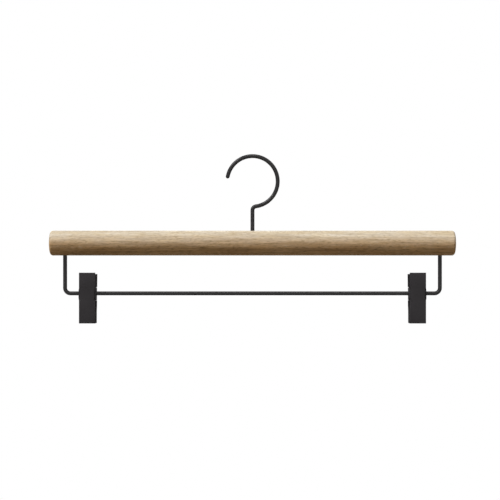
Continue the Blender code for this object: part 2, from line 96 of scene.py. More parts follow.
# Jaws of the clips
CLIP_FROM_UPRIGHT = 22.8 * MM
SHEET_THICKNESS = 0.8 * MM
SHEET_EDGE_RADIUS = 0.12 * MM
FOLD_RADIUS = 1.0 * MM
RELIEF_GAP = 0.4 * MM
FRONT_JAW_WIDTH = 16.3 * MM
REAR_JAW_WIDTH = 17.4 * MM
FRONT_LEVER_RISE = 20.9 * MM
REAR_LEVER_RISE = 19.2 * MM
REAR_LEVER_LEAN = 2.15 * MM
JAW_DROP = 30.1 * MM
JAW_TIP_DEPTH = 10.0 * MM
LIP_LENGTH = 2.6 * MM
CRANK_START_DROP = 12.5 * MM
CRANK_END_DROP = 17.5 * MM
CRANK_START_LEAN = 0.9 * MM
CRANK_END_LEAN = 0.4 * MM
CRANK_RADIUS = 3.0 * MM
FRONT_EAR_MARGIN = 2.45 * MM
REAR_EAR_MARGIN = 3.15 * MM
FRONT_EAR_RIM = 1.45 * MM
EAR_ROOT = 0.3 * MM
EAR_DROP = 0.7 * MM
EAR_SQUARENESS = 4.0

# Sleeves, springs and pads of the clips
SLEEVE_WALL = 0.5 * MM
SPRING_WIRE_RADIUS = 0.55 * MM
SPRING_PITCH = 1.7 * MM
SPRING_TURNS = 5
SPRING_LEG_RISE = 14.0 * MM
SPRING_FOOT_RADIUS = 1.0 * MM
SPRING_ROOM_FRONT = 1.0 * MM
SPRING_ROOM_REAR = 2.3 * MM
PAD_WIDTH = 15.0 * MM
PAD_HEIGHT = 10.4 * MM
PAD_RIBS = 5
PAD_RIB_DEPTH = 0.6 * MM
PAD_RIB_FULLNESS = 0.6
PAD_EDGE_RADIUS = 0.3 * MM

# Sizes and places that follow from those above
HOOK_RADIUS = HOOK_INNER_RADIUS + HOOK_WIRE_RADIUS
HOOK_CENTRE_Z = -HOOK_INNER_RADIUS
SHANK_HOLE_RADIUS = HOOK_WIRE_RADIUS + RUNNING_GAP
FASTENER_HOLE_RADIUS = HOOK_WIRE_RADIUS + FASTENER_GAP
BAR_Z = HOOK_CENTRE_Z - HOOK_CENTRE_TO_BAR
BAR_UNDERSIDE_Z = BAR_Z - BAR_RADIUS
PLUG_TOP_Z = BAR_UNDERSIDE_Z + PLUG_THICKNESS
SHANK_END_Z = PLUG_TOP_Z + SHANK_TO_PLUG
NUT_TOP_Z = SHANK_END_Z + SHANK_PAST_NUT + NUT_HEIGHT
WASHER_TOP_Z = NUT_TOP_Z + SEAT_GAP + WASHER_THICKNESS
RECESS_FLOOR_Z = WASHER_TOP_Z + SEAT_GAP
TROUSER_Z = BAR_Z - TROUSER_BAR_DROP
TROUSER_UPRIGHT_X = BAR_LENGTH / 2 - TROUSER_END_INSET
CLIP_X = TROUSER_UPRIGHT_X - CLIP_FROM_UPRIGHT
SLEEVE_INNER_RADIUS = TROUSER_WIRE_RADIUS + RUNNING_GAP
SLEEVE_RADIUS = SLEEVE_INNER_RADIUS + SLEEVE_WALL
SLEEVE_LENGTH = REAR_JAW_WIDTH + 2 * SEAT_GAP
EAR_HOLE_RADIUS = SLEEVE_RADIUS + EAR_HOLE_GAP
SPRING_RADIUS = SLEEVE_RADIUS + RUNNING_GAP + SPRING_WIRE_RADIUS
SPRING_OUTER_RADIUS = SPRING_RADIUS + SPRING_WIRE_RADIUS
FRONT_FACE_Y = -(SPRING_OUTER_RADIUS + SPRING_ROOM_FRONT + SHEET_THICKNESS)
REAR_FACE_Y = SPRING_OUTER_RADIUS + SPRING_ROOM_REAR + SHEET_THICKNESS
REAR_TIP_Y = FRONT_FACE_Y + JAW_TIP_DEPTH
REAR_EAR_OUTER = REAR_JAW_WIDTH / 2
FRONT_EAR_OUTER = REAR_EAR_OUTER - SHEET_THICKNESS - RUNNING_GAP
GRIP_Y = (FRONT_FACE_Y + REAR_TIP_Y) / 2

# Fineness
WIRE_SIDES = 40
SPRING_SIDES = 16
TURNED_SIDES = 96
SMALL_SIDES = 64
HOOK_STEPS = 100
NECK_STEPS = 24
TIP_TURNS = [math.radians(degrees) for degrees in (0.0, 15.0, 30.0, 45.0, 60.0, 75.0)]
THREAD_RINGS_PER_TURN = 10
CROWN_STEPS = 10
EDGE_STEPS = 14
SHAFT_STEPS = 40
BEND_STEPS = 24
FOLD_STEPS = 6
FOOT_STEPS = 6
EAR_ROWS = 28
RIB_STEPS = 12
SPRING_STEPS_PER_TURN = 32
SHARP_ANGLE = math.radians(32.0)

# Grain of the oak, whose pith lies in front of the wooden bar and below it
PITH_TO_FRONT = 26.0 * MM
PITH_DROP = 48.0 * MM
RINGS_PER_METRE = 480.0
RING_DRIFT = 0.025
RING_WAVE = 0.014
EARLY_WOOD_SHARE = 0.35
# Painted light and shade on the oak: between these heights its colour turns from warmer and darker below
# to paler above
PAINTED_LIGHT_LOW_Z = BAR_Z - 8.0 * MM
PAINTED_LIGHT_HIGH_Z = BAR_Z + 11.0 * MM

# Surroundings
AMBIENT = (0.235, 0.215, 0.19, 1.0)
FLOOR_Z = -1.6
FLOOR_RADIUS = 6.0
FLOOR_FADE_START = 3.0
FLOOR_FADE_END = 5.8

# Camera, from the photograph's perspective
PICTURE_WIDTH = 0.5035
CAMERA_DISTANCE = 1.415
CAMERA_X = -2.5 * MM
CAMERA_Z = -92.55 * MM
SENSOR_WIDTH = 36.0


def arc(centre, radius, start, end, steps):
    """Points (across, up) on an arc about centre, both ends included."""
    points = []
    for step in range(steps + 1):
        angle = start + (end - start) * step / steps
        points.append((centre[0] + radius * math.cos(angle), centre[1] + radius * math.sin(angle)))
    return points


def rounded_path(corners, radii, steps):
    """A line through corners in a plane, with each inner corner rounded by its radius."""
    path = [Vector(corners[0])]
    for before, corner, after, radius in zip(corners, corners[1:], corners[2:], radii):
        corner = Vector(corner)
        back = (Vector(before) - corner).normalized()
        onward = (Vector(after) - corner).normalized()
        half_turn = (math.pi - back.angle(onward)) / 2
        centre = corner + (back + onward).normalized() * radius / math.cos(half_turn)
        start = corner + back * radius * math.tan(half_turn) - centre
        end = corner + onward * radius * math.tan(half_turn) - centre
        for step in range(steps + 1):
            share = step / steps
            weight_start = math.sin((1 - share) * 2 * half_turn)
            weight_end = math.sin(share * 2 * half_turn)
            path.append(centre + (start * weight_start + end * weight_end) / math.sin(2 * half_turn))
    path.append(Vector(corners[-1]))
    return path


def add_ring(mesh, centre, radius, sides, first, second, threaded=False):
    """Vertices on a circle about centre, or a single one where the radius is 0."""
    if radius == 0.0:
        return [mesh.verts.new(centre)]
    ring = []
    for number in range(sides):
        angle = 2 * math.pi * number / sides
        phase = 2 * math.pi * centre.z / THREAD_PITCH - angle
        cut = THREAD_DEPTH * (0.5 - 0.5 * math.cos(phase)) if threaded else 0.0
        outward = math.cos(angle) * first + math.sin(angle) * second
        ring.append(mesh.verts.new(centre + (radius - cut) * outward))
    return ring


def join_rings(mesh, rings, closed):
    """Skins neighbouring rings of points, closes open ends, and turns all faces outwards."""
    pairs = list(zip(rings, rings[1:]))
    if closed:
        pairs.append((rings[-1], rings[0]))
    for one, other in pairs:
        count = max(len(one), len(other))
        for number in range(count):
            after = (number + 1) % count
            corners = []
            for ring, index in ((one, number), (one, after), (other, after), (other, number)):
                vertex = ring[index % len(ring)]
                if vertex not in corners:
                    corners.append(vertex)
            mesh.faces.new(corners)
    if not closed:
        for ring in (rings[0], rings[-1]):
            if len(ring) > 1:
                mesh.faces.new(ring)
    bmesh.ops.recalc_face_normals(mesh, faces=mesh.faces)


def swept(points, radii, sides, thread_from=None):
    """A round wire along points. From point number thread_from on, a thread is cut into it."""
    mesh = bmesh.new()
    side = Vector((0.0, 1.0, 0.0))
    rings = []
    for index, point in enumerate(points):
        ahead = points[min(index + 1, len(points) - 1)]
        behind = points[max(index - 1, 0)]
        tangent = (ahead - behind).normalized()
        side = (side - tangent * side.dot(tangent)).normalized()
        normal = tangent.cross(side)
        threaded = thread_from is not None and index >= thread_from
        rings.append(add_ring(mesh, point, radii[index], sides, side, normal, threaded))
    join_rings(mesh, rings, False)
    return mesh


def turned(profile, axis, sides, closed, place):
    """A solid of revolution. The profile's points are (along the axis, radius)."""
    mesh = bmesh.new()
    along = Vector((1.0, 0.0, 0.0)) if axis == "X" else Vector((0.0, 0.0, 1.0))
    first = Vector((0.0, 1.0, 0.0))
    second = along.cross(first)
    rings = []
    for distance, radius in profile:
        centre = Vector(place) + along * distance
        rings.append(add_ring(mesh, centre, radius, sides, first, second))
    join_rings(mesh, rings, closed)
    return mesh


def tube_profile(start, end, inner_radius, outer_radius):
    """Section of a tube or a washer with broken edges, as (along the axis, radius)."""
    return [
        (start, inner_radius + TURNED_EDGE),
        (start, outer_radius - TURNED_EDGE),
        (start + TURNED_EDGE, outer_radius),
        (end - TURNED_EDGE, outer_radius),
        (end, outer_radius - TURNED_EDGE),
        (end, inner_radius + TURNED_EDGE),
        (end - TURNED_EDGE, inner_radius),
        (start + TURNED_EDGE, inner_radius),
    ]


def as_object(name, mesh):
    """Turns a bmesh into a linked object."""
    data = bpy.data.meshes.new(name)
    mesh.to_mesh(data)
    mesh.free()
    obj = bpy.data.objects.new(name, data)
    bpy.context.scene.collection.objects.link(obj)
    return obj


def settle(obj, helpers=()):
    """Applies an object's modifiers to its mesh and removes the objects that they used."""
    depsgraph = bpy.context.evaluated_depsgraph_get()
    shaped = bpy.data.meshes.new_from_object(obj.evaluated_get(depsgraph))
    plain = obj.data
    obj.modifiers.clear()
    obj.data = shaped
    bpy.data.meshes.remove(plain)
    shaped.name = obj.name
    for helper in helpers:
        data = helper.data
        bpy.data.objects.remove(helper)
        bpy.data.meshes.remove(data)


def combine(obj, helpers, operation):
    """Combines an object with helper solids by a Boolean operation, and removes the helpers."""
    for helper in helpers:
        modifier = obj.modifiers.new("combine", "BOOLEAN")
        modifier.operation = operation
        modifier.solver = "EXACT"
        modifier.object = helper
    settle(obj, helpers)


def soften_edges(obj, radius, segments, angle):
    """Rounds an object's edges that are sharper than angle degrees."""
    bevel = obj.modifiers.new("edges", "BEVEL")
    bevel.width = radius
    bevel.segments = segments
    bevel.limit_method = "ANGLE"
    bevel.angle_limit = math.radians(angle)
    bevel.use_clamp_overlap = True
    settle(obj)


def dress(obj, node, material):
    """Finishes a piece that stands for a CAD node."""
    obj.data.shade_smooth()
    obj.data.set_sharp_from_angle(angle=SHARP_ANGLE)
    obj.data.materials.clear()
    obj.data.materials.append(material)
    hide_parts(node)


def grey(level):
    """An opaque grey."""
    return (level, level, level, 1.0)


def connect(tree, socket, value):
    """Links a socket to another one, or gives it a constant."""
    if isinstance(value, bpy.types.NodeSocket):
        tree.links.new(value, socket)
    else:
        socket.default_value = value


def add_node(tree, kind, settings=None, **values):
    """Adds a shader node. A value is a constant, or a socket that is linked."""
    made = tree.nodes.new("ShaderNode" + kind)
    for key, value in (settings or {}).items():
        setattr(made, key, value)
    for key, value in values.items():
        connect(tree, made.inputs[key.replace("_", " ")], value)
    return made


def compute(tree, operation, first, second=0.0):
    """Result of a Math node."""
    made = add_node(tree, "Math", {"operation": operation})
    connect(tree, made.inputs[0], first)
    connect(tree, made.inputs[1], second)
    return made.outputs[0]


def scaled(tree, value, factor, offset):
    """The value times factor, plus offset."""
    return compute(tree, "ADD", compute(tree, "MULTIPLY", value, factor), offset)


def blend_colours(tree, share, first, second, mode="MIX"):
    """Result of a colour Mix node."""
    made = add_node(tree, "Mix", {"data_type": "RGBA", "blend_type": mode})
    connect(tree, made.inputs[0], share)
    connect(tree, made.inputs[6], first)
    connect(tree, made.inputs[7], second)
    return made.outputs[2]


def remap(tree, value, low, high, to_low=0.0, to_high=1.0):
    """Result of a Map Range node with soft ends."""
    made = add_node(
        tree, "MapRange", {"interpolation_type": "SMOOTHSTEP"},
        Value=value, From_Min=low, From_Max=high, To_Min=to_low, To_Max=to_high,
    )
    return made.outputs[0]


def stretched_noise(tree, position, stretch, detail=2.0, roughness=0.5):
    """Noise over position times stretch, which gives features per metre along each axis."""
    place = add_node(tree, "VectorMath", {"operation": "MULTIPLY"})
    connect(tree, place.inputs[0], position)
    place.inputs[1].default_value = stretch
    noise = add_node(
        tree, "TexNoise", Vector=place.outputs[0], Scale=1.0, Detail=detail, Roughness=roughness
    )
    return noise.outputs["Fac"]


def even_noise(tree, position, per_metre, detail=2.0):
    """Noise with as many features per metre along every axis."""
    return stretched_noise(tree, position, (per_metre, per_metre, per_metre), detail)


def pattern(tree, position, stretch, low, high, detail=2.0):
    """Stretched noise as a share: 0 where the noise is under low, and 1 where it is over high."""
    return remap(tree, stretched_noise(tree, position, stretch, detail), low, high)


def start_material(name, **settings):
    """A material with its shader, its tree and the position on the object."""
    material = bpy.data.materials.new(name)
    material.use_nodes = True
    tree = material.node_tree
    shader = tree.nodes["Principled BSDF"]
    for key, value in settings.items():
        shader.inputs[key.replace("_", " ")].default_value = value
    position = add_node(tree, "TexCoord").outputs["Object"]
    return material, tree, shader, position


def add_clouds(tree, shader, clouds, colours, roughnesses):
    """Gives a shader a colour and a roughness that drift between two values."""
    tree.links.new(blend_colours(tree, clouds, *colours), shader.inputs["Base Color"])
    tree.links.new(remap(tree, clouds, 0.3, 0.7, *roughnesses), shader.inputs["Roughness"])


def add_bump(tree, shader, height, strength, distance):
    """Gives a shader relief from a height between 0 and 1."""
    bump = add_node(tree, "Bump", Strength=strength, Distance=distance, Height=height)
    tree.links.new(bump.outputs[0], shader.inputs["Normal"])


def oak_early_wood(tree, position):
    """Share of early wood, from growth rings about the pith that waver and run out along the bar."""
    parts = add_node(tree, "SeparateXYZ", Vector=position).outputs
    from_pith = add_node(
        tree, "CombineXYZ",
        Y=compute(tree, "ADD", parts["Y"], PITH_TO_FRONT),
        Z=compute(tree, "ADD", parts["Z"], PITH_DROP - BAR_Z),
    )
    distance = add_node(tree, "VectorMath", {"operation": "LENGTH"}, Vector=from_pith.outputs[0])
    drift = compute(tree, "MULTIPLY", parts["X"], RING_DRIFT)
    waver = stretched_noise(tree, position, (9.0, 35.0, 35.0))
    layer = compute(tree, "ADD", distance.outputs["Value"], drift)
    layer = compute(tree, "ADD", layer, compute(tree, "MULTIPLY", waver, RING_WAVE))
    ring = compute(tree, "FRACT", compute(tree, "MULTIPLY", layer, RINGS_PER_METRE))
    return remap(tree, ring, EARLY_WOOD_SHARE, 0.0)


def oak_end_colour(tree, early, hairs, warm, deep):
    """Colour where the rings and vessels are cut across."""
    colour = blend_colours(tree, scaled(tree, early, 0.35, 0.25), warm, deep)
    vessels = compute(tree, "MULTIPLY", hairs, scaled(tree, early, 0.45, 0.15))
    return blend_colours(tree, vessels, colour, deep)


def make_oak():
    """Pale oak: growth rings, pores as fine dashes, short flecks and rays, clear matt lacquer, and
    painted light and shade: paler towards the top, warmer and darker towards the bottom.
    """
    material, tree, shader, position = start_material("oak_lacquered", Specular_IOR_Level=0.04)
    early = oak_early_wood(tree, position)
    fibres = stretched_noise(tree, position, (80.0, 1300.0, 1300.0), detail=4.0, roughness=0.6)
    hairs = pattern(tree, position, (110.0, 3600.0, 3600.0), 0.34, 0.64)
    pores = pattern(tree, position, (110.0, 3200.0, 3200.0), 0.56, 0.68)
    pores = compute(tree, "MULTIPLY", pores, scaled(tree, early, 0.8, 0.2))
    flecks = pattern(tree, position, (230.0, 900.0, 900.0), 0.45, 0.72)
    flecks = compute(tree, "MULTIPLY", flecks, hairs)
    dashes = pattern(tree, position, (16.0, 480.0, 480.0), 0.36, 0.66)
    clouds = pattern(tree, position, (14.0, 120.0, 120.0), 0.3, 0.7, detail=3.0)
    rays = pattern(tree, position, (160.0, 900.0, 300.0), 0.62, 0.74)
    hue = pattern(tree, position, (60.0, 260.0, 260.0), 0.35, 0.65)

    height = add_node(tree, "SeparateXYZ", Vector=position).outputs["Z"]
    # Painted light and shade: the colours below are paler towards the top of the bar and warmer and
    # darker towards its underside
    painted_light_share = remap(tree, height, PAINTED_LIGHT_LOW_Z, PAINTED_LIGHT_HIGH_Z)
    warm = blend_colours(tree, painted_light_share, (0.83, 0.50, 0.225, 1.0), (0.745, 0.65, 0.495, 1.0))
    pale = blend_colours(tree, painted_light_share, (0.92, 0.60, 0.295, 1.0), (0.825, 0.755, 0.62, 1.0))
    deep = blend_colours(tree, painted_light_share, (0.13, 0.055, 0.012, 1.0), (0.31, 0.215, 0.105, 1.0))
    ray_pale = (0.97, 0.84, 0.64, 1.0)
    colour = blend_colours(tree, clouds, warm, pale)
    for mark, strength, tint in (
        (early, 0.3, warm),
        (remap(tree, fibres, 0.35, 0.7), 0.3, deep),
        (dashes, 0.28, deep),
        (flecks, 0.65, deep),
        (rays, 0.25, ray_pale),
        (pores, 0.6, deep),
    ):
        colour = blend_colours(tree, compute(tree, "MULTIPLY", mark, strength), colour, tint)
    cast = blend_colours(tree, hue, (1.01, 0.99, 0.95, 1.0), (1.0, 1.01, 1.05, 1.0))
    colour = blend_colours(tree, 1.0, colour, cast, "MULTIPLY")

    facing = add_node(tree, "SeparateXYZ", Vector=add_node(tree, "TexCoord").outputs["Normal"])
    cut_across = remap(tree, compute(tree, "ABSOLUTE", facing.outputs["X"]), 0.75, 0.98)
    end_colour = oak_end_colour(tree, early, hairs, warm, deep)
    colour = blend_colours(tree, cut_across, colour, end_colour)
    tree.links.new(colour, shader.inputs["Base Color"])
    tree.links.new(remap(tree, fibres, 0.3, 0.7, 0.5, 0.62), shader.inputs["Roughness"])
    relief = compute(tree, "SUBTRACT", compute(tree, "MULTIPLY", fibres, 0.4), pores)
    add_bump(tree, shader, relief, 0.35, 0.05 * MM)
    return material


def make_black_wire():
    """Black lacquer that shows some of the metal under it, on round wire, a little cloudy."""
    material, tree, shader, position = start_material(
        "black_wire_lacquer", Metallic=0.4, Specular_IOR_Level=0.0, Specular_Tint=grey(0.0)
    )
    clouds = even_noise(tree, position, 60.0, detail=3.0)
    colours = ((0.046, 0.045, 0.046, 1.0), (0.055, 0.054, 0.055, 1.0))
    add_clouds(tree, shader, clouds, colours, (0.18, 0.24))
    peel = even_noise(tree, position, 900.0)
    add_bump(tree, shader, peel, 0.05, 0.02 * MM)
    return material


def make_powder_coat():
    """Matt black powder coat on sheet and tube, with its fine pebble."""
    material, tree, shader, position = start_material("black_powder_coat", Specular_IOR_Level=0.3)
    clouds = even_noise(tree, position, 90.0, detail=3.0)
    colours = ((0.028, 0.0255, 0.028, 1.0), (0.038, 0.0345, 0.038, 1.0))
    add_clouds(tree, shader, clouds, colours, (0.75, 0.85))
    pebble = even_noise(tree, position, 2600.0)
    add_bump(tree, shader, pebble, 0.4, 0.03 * MM)
    return material


def make_zinc():
    """Bright zinc plate with its faint cloudy passivation."""
    material, tree, shader, position = start_material("zinc_plate", Metallic=1.0)
    clouds = even_noise(tree, position, 260.0, detail=3.0)
    colours = ((0.52, 0.53, 0.56, 1.0), (0.66, 0.65, 0.62, 1.0))
    add_clouds(tree, shader, clouds, colours, (0.28, 0.42))
    scratches = stretched_noise(tree, position, (300.0, 4000.0, 4000.0))
    add_bump(tree, shader, scratches, 0.2, 0.01 * MM)
    return material


def make_spring_steel():
    """Drawn spring wire, slightly oiled."""
    material, tree, shader, position = start_material("spring_wire_steel", Metallic=1.0)
    clouds = even_noise(tree, position, 400.0, detail=3.0)
    colours = ((0.30, 0.30, 0.31, 1.0), (0.44, 0.43, 0.41, 1.0))
    add_clouds(tree, shader, clouds, colours, (0.25, 0.38))
    draw_lines = stretched_noise(tree, position, (5000.0, 600.0, 600.0))
    add_bump(tree, shader, draw_lines, 0.2, 0.01 * MM)
    return material


def make_rubber():
    """Matt black moulded rubber with a dusty bloom."""
    material, tree, shader, position = start_material("pad_rubber_moulded", Specular_IOR_Level=0.35)
    bloom = even_noise(tree, position, 350.0, detail=3.0)
    add_clouds(tree, shader, bloom, (grey(0.012), (0.026, 0.026, 0.025, 1.0)), (0.7, 0.85))
    grain = even_noise(tree, position, 3500.0)
    add_bump(tree, shader, grain, 0.3, 0.02 * MM)
    return material


def hook_stations():
    """Stations (x, z, radius) along the hook from its rounded tip to the plain shank's lower end."""
    neck_reach = HOOK_RADIUS + HOOK_NECK_RADIUS
    neck_drop = math.sqrt(neck_reach**2 - HOOK_NECK_RADIUS**2)
    join_angle = -math.acos(HOOK_NECK_RADIUS / neck_reach)
    centre = (0.0, HOOK_CENTRE_Z)
    neck_centre = (HOOK_NECK_RADIUS, HOOK_CENTRE_Z - neck_drop)
    stations = []
    for turn in TIP_TURNS:
        angle = HOOK_TIP_ANGLE + HOOK_WIRE_RADIUS * math.cos(turn) / HOOK_RADIUS
        point = arc(centre, HOOK_RADIUS, angle, angle, 1)[0]
        stations.append((*point, HOOK_WIRE_RADIUS * math.sin(turn)))
    for point in arc(centre, HOOK_RADIUS, HOOK_TIP_ANGLE, join_angle, HOOK_STEPS):
        stations.append((*point, HOOK_WIRE_RADIUS))
    for point in arc(neck_centre, HOOK_NECK_RADIUS, join_angle + math.pi, math.pi, NECK_STEPS)[1:]:
        stations.append((*point, HOOK_WIRE_RADIUS))
    stations.append((0.0, SHANK_END_Z + THREAD_LENGTH, HOOK_WIRE_RADIUS))
    return stations


def build_hook(material):
    """Open circle, reverse bend and threaded shank, in one piece of wire with a rounded tip."""
    stations = hook_stations()
    thread_from = len(stations)
    rings = round(THREAD_LENGTH / THREAD_PITCH * THREAD_RINGS_PER_TURN)
    # The thread's top ring lies a hair below the last one of the plain shank.
    below_shank = 0.999
    for ring in range(rings + 1):
        rise = THREAD_LENGTH * (1 - ring / rings)
        taper = max(0.0, HOOK_END_CHAMFER - rise)
        stations.append((0.0, SHANK_END_Z + rise * below_shank, HOOK_WIRE_RADIUS - taper))
    points = [Vector((x, 0.0, z)) for x, z, _ in stations]
    radii = [radius for _, _, radius in stations]
    hook = as_object("hook_wire", swept(points, radii, WIRE_SIDES, thread_from))
    dress(hook, "hook", material)
    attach(hook, "hook")


def build_washer(material):
    """Plain washer on the shank, at the top of the wooden bar's recess."""
    profile = tube_profile(0.0, WASHER_THICKNESS, FASTENER_HOLE_RADIUS, WASHER_RADIUS)
    place = (0.0, 0.0, WASHER_TOP_Z - WASHER_THICKNESS)
    washer = as_object("hook_washer_plate", turned(profile, "Z", SMALL_SIDES, True, place))
    dress(washer, "hook_washer", material)
    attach(washer, "hook")


def build_nut(material):
    """Hexagon nut on the shank's end, its corners chamfered and its bore flared."""
    place = (0.0, 0.0, NUT_TOP_Z - NUT_HEIGHT)
    corner = NUT_WIDTH / 2 / math.cos(math.pi / 6)
    outline = [(0.0, 0.0), (0.0, corner), (NUT_HEIGHT, corner), (NUT_HEIGHT, 0.0)]
    nut = as_object("hook_nut_hexagon", turned(outline, "Z", 6, False, place))
    face = NUT_WIDTH / 2 * NUT_FACE_SHARE
    collar = corner + 4.0 * MM
    cutters = []
    for level, inward in ((0.0, 1), (NUT_HEIGHT, -1)):
        within = level + inward * NUT_CONE_HEIGHT
        beyond = level - inward * NUT_CONE_HEIGHT
        cone = [
            (level, face),
            (within, face + NUT_CONE_HEIGHT * math.sqrt(3)),
            (within, collar),
            (beyond, collar),
            (beyond, face),
        ]
        cutters.append(as_object("nut_cone", turned(cone, "Z", SMALL_SIDES, True, place)))
    past = 1.0 * MM
    flare = FASTENER_HOLE_RADIUS + NUT_MOUTH + past
    bore = [
        (-past, 0.0),
        (-past, flare),
        (NUT_MOUTH, FASTENER_HOLE_RADIUS),
        (NUT_HEIGHT - NUT_MOUTH, FASTENER_HOLE_RADIUS),
        (NUT_HEIGHT + past, flare),
        (NUT_HEIGHT + past, 0.0),
    ]
    cutters.append(as_object("nut_bore", turned(bore, "Z", SMALL_SIDES, False, place)))
    combine(nut, cutters, "DIFFERENCE")
    dress(nut, "hook_nut", material)
    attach(nut, "hook")


def bar_outline():
    """Outline of the wooden bar, as (along, radius), from its right end to its left."""
    rim = BAR_RADIUS - BAR_EDGE_RADIUS
    crown_to_edge = BAR_CROWN_RADIUS - BAR_EDGE_RADIUS
    crown_x = BAR_LENGTH / 2 - BAR_CROWN_RADIUS
    edge_x = crown_x + math.sqrt(crown_to_edge**2 - rim**2)
    crown_angle = math.asin(rim / crown_to_edge)
    crown = arc((crown_x, 0.0), BAR_CROWN_RADIUS, 0.0, crown_angle, CROWN_STEPS)
    edge = arc((edge_x, rim), BAR_EDGE_RADIUS, crown_angle, math.pi / 2, EDGE_STEPS)
    right_end = [(BAR_LENGTH / 2, 0.0)] + crown[1:] + edge[1:]
    left_end = [(-along, radius) for along, radius in reversed(right_end)]
    shaft = [(edge_x * (1 - 2 * step / SHAFT_STEPS), BAR_RADIUS) for step in range(1, SHAFT_STEPS)]
    return right_end + shaft + left_end


def build_wood_bar(material):
    """Turned bar with crowned ends, bored for the hook and for the ends of the trouser bar."""
    place = (0.0, 0.0, BAR_Z)
    bar = as_object("oak_bar", turned(bar_outline(), "X", TURNED_SIDES, False, place))
    past = 2 * BAR_RADIUS
    floor_z = RECESS_FLOOR_Z - BAR_Z
    hook_hole = [
        (past, 0.0),
        (past, SHANK_HOLE_RADIUS),
        (floor_z, SHANK_HOLE_RADIUS),
        (floor_z, RECESS_RADIUS),
        (-past, RECESS_RADIUS),
        (-past, 0.0),
    ]
    cutters = [as_object("hook_drill", turned(hook_hole, "Z", SMALL_SIDES, False, place))]
    seat_radius = TROUSER_WIRE_RADIUS + WOOD_SEAM
    seat_top = TROUSER_SEAT_DEPTH - BAR_RADIUS
    seat = [(seat_top, 0.0), (seat_top, seat_radius), (-past, seat_radius), (-past, 0.0)]
    for sign in (-1, 1):
        seat_place = (sign * TROUSER_UPRIGHT_X, 0.0, BAR_Z)
        cutters.append(as_object("seat_drill", turned(seat, "Z", SMALL_SIDES, False, seat_place)))
    combine(bar, cutters, "DIFFERENCE")
    dress(bar, "wood_bar", material)
    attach(bar, "bar")


def build_bar_plug(material):
    """Wooden plug that closes the recess, its underside turned flush with the bar."""
    radius = RECESS_RADIUS - WOOD_SEAM
    top = PLUG_TOP_Z - BAR_Z
    past = 2 * BAR_RADIUS
    place = (0.0, 0.0, BAR_Z)
    outline = [(top, 0.0), (top, radius), (-past, radius), (-past, 0.0)]
    plug = as_object("oak_plug", turned(outline, "Z", SMALL_SIDES, False, place))
    reach = 2 * RECESS_RADIUS
    shaft = [(reach, 0.0), (reach, BAR_RADIUS), (-reach, BAR_RADIUS), (-reach, 0.0)]
    shaper = as_object("plug_shaper", turned(shaft, "X", TURNED_SIDES, False, place))
    combine(plug, [shaper], "INTERSECT")
    dress(plug, "bar_plug", material)
    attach(plug, "bar")


def build_trouser_bar(material):
    """Wire bent to a wide U, its ends standing in the wooden bar."""
    x = TROUSER_UPRIGHT_X
    top = BAR_UNDERSIDE_Z + TROUSER_SEAT_DEPTH - SEAT_GAP
    corners = [(-x, top), (-x, TROUSER_Z), (x, TROUSER_Z), (x, top)]
    path = rounded_path(corners, [TROUSER_BEND_RADIUS] * 2, BEND_STEPS)
    points = [Vector((across, 0.0, up)) for across, up in path]
    wire = as_object("trouser_wire", swept(points, [TROUSER_WIRE_RADIUS] * len(points), WIRE_SIDES))
    dress(wire, "trouser_bar", material)
    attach(wire, "bar")


def profile_y(profile, z):
    """The profile's y at a height, where the profile falls steadily."""
    for upper, lower in zip(profile, profile[1:]):
        if upper[1] >= z >= lower[1] and upper[1] > lower[1]:
            share = (upper[1] - z) / (upper[1] - lower[1])
            return upper[0] + (lower[0] - upper[0]) * share
    return profile[0][0]


def front_profile():
    """Outer face of the front jaw, (y, z) from the lever's top to the end of the lip."""
    corners = [
        (FRONT_FACE_Y, FRONT_LEVER_RISE),
        (FRONT_FACE_Y, -JAW_DROP),
        (FRONT_FACE_Y + LIP_LENGTH, -JAW_DROP),
    ]
    return rounded_path(corners, [FOLD_RADIUS], FOLD_STEPS)


def rear_profile():
    """Outer face of the rear jaw: it leans back at the lever and is cranked forward above the tip."""
    corners = [
        (REAR_FACE_Y + REAR_LEVER_LEAN, REAR_LEVER_RISE),
        (REAR_FACE_Y, 0.0),
        (REAR_FACE_Y - CRANK_START_LEAN, -CRANK_START_DROP),
        (REAR_TIP_Y + CRANK_END_LEAN, -CRANK_END_DROP),
        (REAR_TIP_Y, -JAW_DROP),
        (REAR_TIP_Y - LIP_LENGTH, -JAW_DROP),
    ]
    return rounded_path(corners, [CRANK_RADIUS, CRANK_RADIUS, CRANK_RADIUS, FOLD_RADIUS], FOLD_STEPS)


def jaw_rows(profile, ear_half_height):
    """Rows (y, z, height) down a jaw. Height goes from 1 to -1 over the ears, else it is None."""
    upper_relief = ear_half_height + RELIEF_GAP - EAR_DROP
    lower_relief = -ear_half_height - RELIEF_GAP - EAR_DROP
    rows = [(y, z, None) for y, z in profile if z > upper_relief]
    rows.append((profile_y(profile, upper_relief), upper_relief, None))
    for number in range(EAR_ROWS + 1):
        height = math.cos(math.pi * number / EAR_ROWS)
        z = ear_half_height * height - EAR_DROP
        rows.append((profile_y(profile, z), z, height))
    rows.append((profile_y(profile, lower_relief), lower_relief, None))
    rows += [(y, z, None) for y, z in profile if z < lower_relief]
    return rows


def ear_row(y, height, inward, ear_outer, ear_length):
    """Points (x, y) of one row through the fold and the ear, on the side of +X."""
    points = []
    for step in range(1, FOLD_STEPS + 1):
        turn = math.pi / 2 * step / FOLD_STEPS
        depth = FOLD_RADIUS * (1 - math.cos(turn))
        points.append((ear_outer - FOLD_RADIUS + FOLD_RADIUS * math.sin(turn), y + inward * depth))
    share = max(0.0, 1 - abs(height) ** EAR_SQUARENESS) ** (1 / EAR_SQUARENESS)
    points.append((ear_outer, y + inward * (FOLD_RADIUS + EAR_ROOT + ear_length * share)))
    return points


